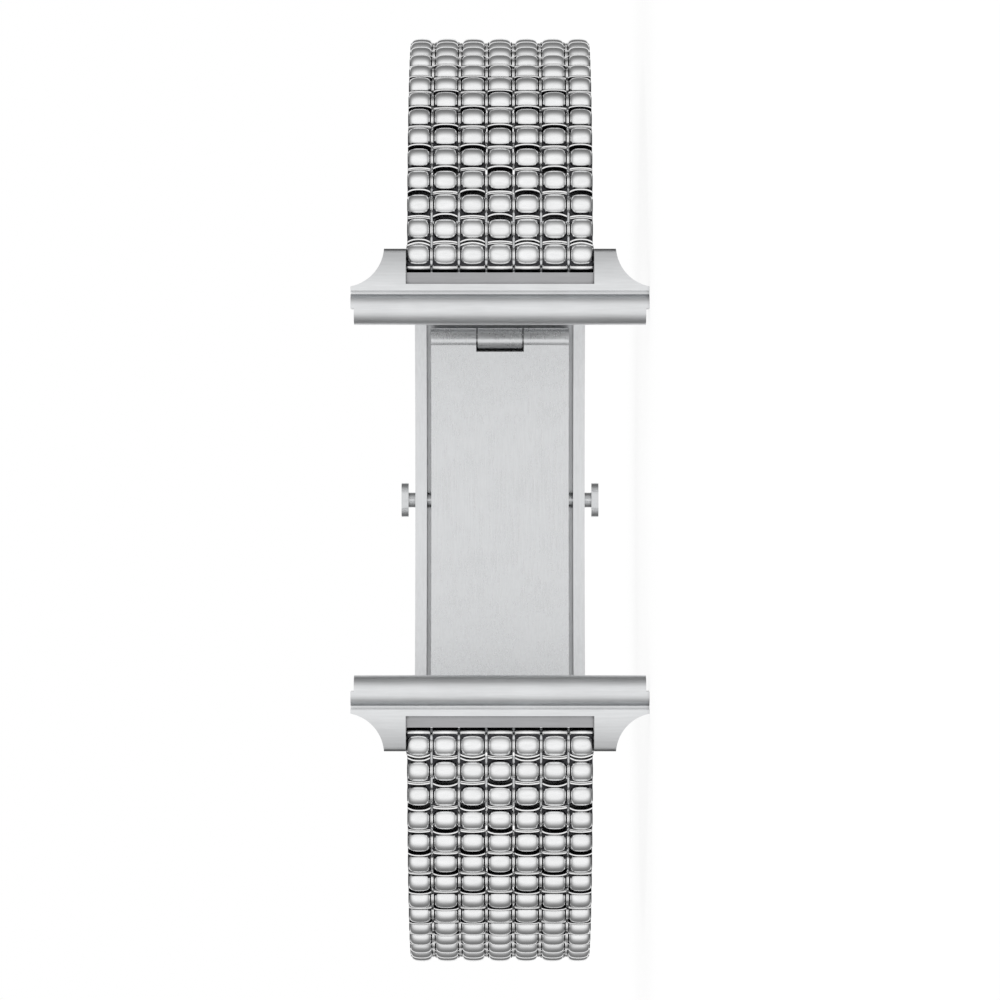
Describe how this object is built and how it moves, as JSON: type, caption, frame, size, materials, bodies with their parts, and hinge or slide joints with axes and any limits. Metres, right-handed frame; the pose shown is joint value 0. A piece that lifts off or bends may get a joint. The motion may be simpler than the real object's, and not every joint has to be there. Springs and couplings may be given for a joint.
{
  "type": "chain watch band",
  "caption": "Closed chain watch band of barrel-bead links on cross pins, with two slide-in watch lugs and a folding push-button clasp.",
  "frame": {"origin": "the middle of the place that the watch case fills, level with the axes of the two sliding rails", "axes": "+X towards the 12 o'clock end of the band, +Y from the watch back to the clasp, +Z along the pins, across the band"},
  "size_m": [0.0876, 0.0497, 0.027],
  "materials": {
    "bead_steel": "polished stainless steel",
    "lug_steel": "fine satin stainless steel",
    "clasp_steel": "brushed stainless steel",
    "blade_steel": "brushed stainless steel",
    "pin_steel": "polished stainless steel"
  },
  "bodies": {
    "lug_adapter_top": {"lug_adapter_top": "lug_steel", "lug_bar_top": "pin_steel"},
    "end_link_top": {"end_link_top": "bead_steel"},
    "top_link_02": {"top_link_02": "bead_steel"},
    "top_link_03": {"top_link_03": "bead_steel"},
    "top_link_04": {"top_link_04": "bead_steel"},
    "top_link_05": {"top_link_05": "bead_steel"},
    "top_link_06": {"top_link_06": "bead_steel"},
    "top_link_07": {"top_link_07": "bead_steel"},
    "top_link_08": {"top_link_08": "bead_steel"},
    "top_link_09": {"top_link_09": "bead_steel"},
    "top_link_10": {"top_link_10": "bead_steel"},
    "top_link_11": {"top_link_11": "bead_steel"},
    "top_link_12": {"top_link_12": "bead_steel"},
    "top_link_13": {"top_link_13": "bead_steel"},
    "top_link_14": {"top_link_14": "bead_steel"},
    "top_link_15": {"top_link_15": "bead_steel"},
    "top_link_16": {"top_link_16": "bead_steel"},
    "top_link_17": {"top_link_17": "bead_steel"},
    "top_link_18": {"top_link_18": "bead_steel"},
    "top_link_19": {"top_link_19": "bead_steel"},
    "top_link_20": {"top_link_20": "bead_steel"},
    "top_link_21": {"top_link_21": "bead_steel"},
    "top_link_22": {"top_link_22": "bead_steel"},
    "top_link_23": {"top_link_23": "bead_steel"},
    "clasp_link_top": {"clasp_link_top": "bead_steel"},
    "clasp_cover": {"clasp_cover": "clasp_steel", "clasp_bar": "pin_steel"},
    "push_button_left": {"push_button_left": "pin_steel"},
    "push_button_right": {"push_button_right": "pin_steel"},
    "middle_blade": {"middle_blade": "blade_steel"},
    "inner_blade": {"inner_blade": "blade_steel"},
    "clasp_link_bottom": {"clasp_link_bottom": "bead_steel"},
    "bottom_link_23": {"bottom_link_23": "bead_steel"},
    "bottom_link_22": {"bottom_link_22": "bead_steel"},
    "bottom_link_21": {"bottom_link_21": "bead_steel"},
    "bottom_link_20": {"bottom_link_20": "bead_steel"},
    "bottom_link_19": {"bottom_link_19": "bead_steel"},
    "bottom_link_18": {"bottom_link_18": "bead_steel"},
    "bottom_link_17": {"bottom_link_17": "bead_steel"},
    "bottom_link_16": {"bottom_link_16": "bead_steel"},
    "bottom_link_15": {"bottom_link_15": "bead_steel"},
    "bottom_link_14": {"bottom_link_14": "bead_steel"},
    "bottom_link_13": {"bottom_link_13": "bead_steel"},
    "bottom_link_12": {"bottom_link_12": "bead_steel"},
    "bottom_link_11": {"bottom_link_11": "bead_steel"},
    "bottom_link_10": {"bottom_link_10": "bead_steel"},
    "bottom_link_09": {"bottom_link_09": "bead_steel"},
    "bottom_link_08": {"bottom_link_08": "bead_steel"},
    "bottom_link_07": {"bottom_link_07": "bead_steel"},
    "bottom_link_06": {"bottom_link_06": "bead_steel"},
    "bottom_link_05": {"bottom_link_05": "bead_steel"},
    "bottom_link_04": {"bottom_link_04": "bead_steel"},
    "bottom_link_03": {"bottom_link_03": "bead_steel"},
    "bottom_link_02": {"bottom_link_02": "bead_steel"},
    "end_link_bottom": {"end_link_bottom": "bead_steel"},
    "lug_adapter_bottom": {"lug_adapter_bottom": "lug_steel", "lug_bar_bottom": "pin_steel"},
    "lug_detent_top": {"lug_detent_top": "pin_steel"},
    "lug_detent_bottom": {"lug_detent_bottom": "pin_steel"}
  },
  "joints": [
    {"name": "end_link_top_hinge", "type": "hinge", "parent": "lug_adapter_top", "child": "end_link_top", "pos_m": [0.0215, 0, 0], "axis": [0, 0, 1], "range_deg": [-18, 18]},
    {"name": "pin_02_top", "type": "hinge", "parent": "end_link_top", "child": "top_link_02", "pos_m": [0.02446, 0.00041, 0], "axis": [0, 0, -1], "range_deg": [-20.9, 19.1]},
    {"name": "pin_03_top", "type": "hinge", "parent": "top_link_02", "child": "top_link_03", "pos_m": [0.02672, 0.00104, 0], "axis": [0, 0, 1], "range_deg": [-19.1, 20.9]},
    {"name": "pin_04_top", "type": "hinge", "parent": "top_link_03", "child": "top_link_04", "pos_m": [0.0289, 0.00189, 0], "axis": [0, 0, -1], "range_deg": [-20.9, 19.1]},
    {"name": "pin_05_top", "type": "hinge", "parent": "top_link_04", "child": "top_link_05", "pos_m": [0.03098, 0.00296, 0], "axis": [0, 0, 1], "range_deg": [-19.1, 20.9]},
    {"name": "pin_06_top", "type": "hinge", "parent": "top_link_05", "child": "top_link_06", "pos_m": [0.03295, 0.00423, 0], "axis": [0, 0, -1], "range_deg": [-20.9, 19.1]},
    {"name": "pin_07_top", "type": "hinge", "parent": "top_link_06", "child": "top_link_07", "pos_m": [0.03478, 0.00568, 0], "axis": [0, 0, 1], "range_deg": [-19.1, 20.9]},
    {"name": "pin_08_top", "type": "hinge", "parent": "top_link_07", "child": "top_link_08", "pos_m": [0.03645, 0.00732, 0], "axis": [0, 0, -1], "range_deg": [-20.9, 19.1]},
    {"name": "pin_09_top", "type": "hinge", "parent": "top_link_08", "child": "top_link_09", "pos_m": [0.03796, 0.0091, 0], "axis": [0, 0, 1], "range_deg": [-19.1, 20.9]},
    {"name": "pin_10_top", "type": "hinge", "parent": "top_link_09", "child": "top_link_10", "pos_m": [0.03928, 0.01104, 0], "axis": [0, 0, -1], "range_deg": [-20.9, 19.1]},
    {"name": "pin_11_top", "type": "hinge", "parent": "top_link_10", "child": "top_link_11", "pos_m": [0.04041, 0.01309, 0], "axis": [0, 0, 1], "range_deg": [-19.1, 20.9]},
    {"name": "pin_12_top", "type": "hinge", "parent": "top_link_11", "child": "top_link_12", "pos_m": [0.04132, 0.01524, 0], "axis": [0, 0, -1], "range_deg": [-20.9, 19.1]},
    {"name": "pin_13_top", "type": "hinge", "parent": "top_link_12", "child": "top_link_13", "pos_m": [0.04202, 0.01748, 0], "axis": [0, 0, 1], "range_deg": [-19.1, 20.9]},
    {"name": "pin_14_top", "type": "hinge", "parent": "top_link_13", "child": "top_link_14", "pos_m": [0.04249, 0.01977, 0], "axis": [0, 0, -1], "range_deg": [-20.9, 19.1]},
    {"name": "pin_15_top", "type": "hinge", "parent": "top_link_14", "child": "top_link_15", "pos_m": [0.04273, 0.0221, 0], "axis": [0, 0, 1], "range_deg": [-22.9, 17.1]},
    {"name": "pin_16_top", "type": "hinge", "parent": "top_link_15", "child": "top_link_16", "pos_m": [0.04258, 0.02443, 0], "axis": [0, 0, -1], "range_deg": [-17.3, 22.7]},
    {"name": "pin_17_top", "type": "hinge", "parent": "top_link_16", "child": "top_link_17", "pos_m": [0.04206, 0.02671, 0], "axis": [0, 0, 1], "range_deg": [-22.5, 17.5]},
    {"name": "pin_18_top", "type": "hinge", "parent": "top_link_17", "child": "top_link_18", "pos_m": [0.04118, 0.02888, 0], "axis": [0, 0, -1], "range_deg": [-18, 22]},
    {"name": "pin_19_top", "type": "hinge", "parent": "top_link_18", "child": "top_link_19", "pos_m": [0.03999, 0.0309, 0], "axis": [0, 0, 1], "range_deg": [-21.5, 18.5]},
    {"name": "pin_20_top", "type": "hinge", "parent": "top_link_19", "child": "top_link_20", "pos_m": [0.03853, 0.03272, 0], "axis": [0, 0, -1], "range_deg": [-19.2, 20.8]},
    {"name": "pin_21_top", "type": "hinge", "parent": "top_link_20", "child": "top_link_21", "pos_m": [0.03684, 0.03434, 0], "axis": [0, 0, 1], "range_deg": [-20.1, 19.9]},
    {"name": "pin_22_top", "type": "hinge", "parent": "top_link_21", "child": "top_link_22", "pos_m": [0.03497, 0.03575, 0], "axis": [0, 0, -1], "range_deg": [-20.8, 19.2]},
    {"name": "pin_23_top", "type": "hinge", "parent": "top_link_22", "child": "top_link_23", "pos_m": [0.03297, 0.03697, 0], "axis": [0, 0, 1], "range_deg": [-18.2, 21.8]},
    {"name": "pin_24_top", "type": "hinge", "parent": "top_link_23", "child": "clasp_link_top", "pos_m": [0.03088, 0.03802, 0], "axis": [0, 0, -1], "range_deg": [-22.8, 17.2]},
    {"name": "clasp_link_top_hinge", "type": "hinge", "parent": "clasp_link_top", "child": "clasp_cover", "pos_m": [0.0235, 0.04111, 0], "axis": [0, 0, 1], "range_deg": [-20, 20]},
    {"name": "button_left_press", "type": "slide", "parent": "clasp_cover", "child": "push_button_left", "axis": [0, 0, -1], "range_m": [0, 0.0006], "stiffness_N_per_m": 300, "springref_m": -0.001},
    {"name": "button_right_press", "type": "slide", "parent": "clasp_cover", "child": "push_button_right", "axis": [0, 0, 1], "range_m": [0, 0.0006], "stiffness_N_per_m": 300, "springref_m": -0.001},
    {"name": "clasp_unfold", "type": "hinge", "parent": "clasp_cover", "child": "middle_blade", "pos_m": [-0.0201, 0.04183, 0], "axis": [0, 0, -1], "range_deg": [0, 165]},
    {"name": "inner_blade_unfold", "type": "hinge", "parent": "middle_blade", "child": "inner_blade", "pos_m": [0.0159, 0.04195, 0], "axis": [0, 0, 1], "range_deg": [0, 165]},
    {"name": "clasp_link_bottom_hinge", "type": "hinge", "parent": "inner_blade", "child": "clasp_link_bottom", "pos_m": [-0.0235, 0.04111, 0], "axis": [0, 0, 1], "range_deg": [-20, 20]},
    {"name": "pin_24_bottom", "type": "hinge", "parent": "clasp_link_bottom", "child": "bottom_link_23", "pos_m": [-0.03088, 0.03802, 0], "axis": [0, 0, -1], "range_deg": [-22.8, 17.2]},
    {"name": "pin_23_bottom", "type": "hinge", "parent": "bottom_link_23", "child": "bottom_link_22", "pos_m": [-0.03297, 0.03697, 0], "axis": [0, 0, 1], "range_deg": [-18.2, 21.8]},
    {"name": "pin_22_bottom", "type": "hinge", "parent": "bottom_link_22", "child": "bottom_link_21", "pos_m": [-0.03497, 0.03575, 0], "axis": [0, 0, -1], "range_deg": [-20.8, 19.2]},
    {"name": "pin_21_bottom", "type": "hinge", "parent": "bottom_link_21", "child": "bottom_link_20", "pos_m": [-0.03684, 0.03434, 0], "axis": [0, 0, 1], "range_deg": [-20.1, 19.9]},
    {"name": "pin_20_bottom", "type": "hinge", "parent": "bottom_link_20", "child": "bottom_link_19", "pos_m": [-0.03853, 0.03272, 0], "axis": [0, 0, -1], "range_deg": [-19.2, 20.8]},
    {"name": "pin_19_bottom", "type": "hinge", "parent": "bottom_link_19", "child": "bottom_link_18", "pos_m": [-0.03999, 0.0309, 0], "axis": [0, 0, 1], "range_deg": [-21.5, 18.5]},
    {"name": "pin_18_bottom", "type": "hinge", "parent": "bottom_link_18", "child": "bottom_link_17", "pos_m": [-0.04118, 0.02888, 0], "axis": [0, 0, -1], "range_deg": [-18, 22]},
    {"name": "pin_17_bottom", "type": "hinge", "parent": "bottom_link_17", "child": "bottom_link_16", "pos_m": [-0.04206, 0.02671, 0], "axis": [0, 0, 1], "range_deg": [-22.5, 17.5]},
    {"name": "pin_16_bottom", "type": "hinge", "parent": "bottom_link_16", "child": "bottom_link_15", "pos_m": [-0.04258, 0.02443, 0], "axis": [0, 0, -1], "range_deg": [-17.3, 22.7]},
    {"name": "pin_15_bottom", "type": "hinge", "parent": "bottom_link_15", "child": "bottom_link_14", "pos_m": [-0.04273, 0.0221, 0], "axis": [0, 0, 1], "range_deg": [-22.9, 17.1]},
    {"name": "pin_14_bottom", "type": "hinge", "parent": "bottom_link_14", "child": "bottom_link_13", "pos_m": [-0.04249, 0.01977, 0], "axis": [0, 0, -1], "range_deg": [-20.9, 19.1]},
    {"name": "pin_13_bottom", "type": "hinge", "parent": "bottom_link_13", "child": "bottom_link_12", "pos_m": [-0.04202, 0.01748, 0], "axis": [0, 0, 1], "range_deg": [-19.1, 20.9]},
    {"name": "pin_12_bottom", "type": "hinge", "parent": "bottom_link_12", "child": "bottom_link_11", "pos_m": [-0.04132, 0.01524, 0], "axis": [0, 0, -1], "range_deg": [-20.9, 19.1]},
    {"name": "pin_11_bottom", "type": "hinge", "parent": "bottom_link_11", "child": "bottom_link_10", "pos_m": [-0.04041, 0.01309, 0], "axis": [0, 0, 1], "range_deg": [-19.1, 20.9]},
    {"name": "pin_10_bottom", "type": "hinge", "parent": "bottom_link_10", "child": "bottom_link_09", "pos_m": [-0.03928, 0.01104, 0], "axis": [0, 0, -1], "range_deg": [-20.9, 19.1]},
    {"name": "pin_09_bottom", "type": "hinge", "parent": "bottom_link_09", "child": "bottom_link_08", "pos_m": [-0.03796, 0.0091, 0], "axis": [0, 0, 1], "range_deg": [-19.1, 20.9]},
    {"name": "pin_08_bottom", "type": "hinge", "parent": "bottom_link_08", "child": "bottom_link_07", "pos_m": [-0.03645, 0.00732, 0], "axis": [0, 0, -1], "range_deg": [-20.9, 19.1]},
    {"name": "pin_07_bottom", "type": "hinge", "parent": "bottom_link_07", "child": "bottom_link_06", "pos_m": [-0.03478, 0.00568, 0], "axis": [0, 0, 1], "range_deg": [-19.1, 20.9]},
    {"name": "pin_06_bottom", "type": "hinge", "parent": "bottom_link_06", "child": "bottom_link_05", "pos_m": [-0.03295, 0.00423, 0], "axis": [0, 0, -1], "range_deg": [-20.9, 19.1]},
    {"name": "pin_05_bottom", "type": "hinge", "parent": "bottom_link_05", "child": "bottom_link_04", "pos_m": [-0.03098, 0.00296, 0], "axis": [0, 0, 1], "range_deg": [-19.1, 20.9]},
    {"name": "pin_04_bottom", "type": "hinge", "parent": "bottom_link_04", "child": "bottom_link_03", "pos_m": [-0.0289, 0.00189, 0], "axis": [0, 0, -1], "range_deg": [-20.9, 19.1]},
    {"name": "pin_03_bottom", "type": "hinge", "parent": "bottom_link_03", "child": "bottom_link_02", "pos_m": [-0.02672, 0.00104, 0], "axis": [0, 0, 1], "range_deg": [-19.1, 20.9]},
    {"name": "pin_02_bottom", "type": "hinge", "parent": "bottom_link_02", "child": "end_link_bottom", "pos_m": [-0.02446, 0.00041, 0], "axis": [0, 0, -1], "range_deg": [-20.9, 19.1]},
    {"name": "end_link_bottom_hinge", "type": "hinge", "parent": "end_link_bottom", "child": "lug_adapter_bottom", "pos_m": [-0.0215, 0, 0], "axis": [0, 0, 1], "range_deg": [-18, 18]},
    {"name": "detent_top_press", "type": "slide", "parent": "lug_adapter_top", "child": "lug_detent_top", "axis": [0, -1, 0], "range_m": [0, 0.00045], "stiffness_N_per_m": 200, "springref_m": -0.001},
    {"name": "detent_bottom_press", "type": "slide", "parent": "lug_adapter_bottom", "child": "lug_detent_bottom", "axis": [0, -1, 0], "range_m": [0, 0.00045], "stiffness_N_per_m": 200, "springref_m": -0.001}
  ],
  "couplings": [
    {"joint": "inner_blade_unfold", "follows": "clasp_unfold", "ratio": 1}
  ]
}
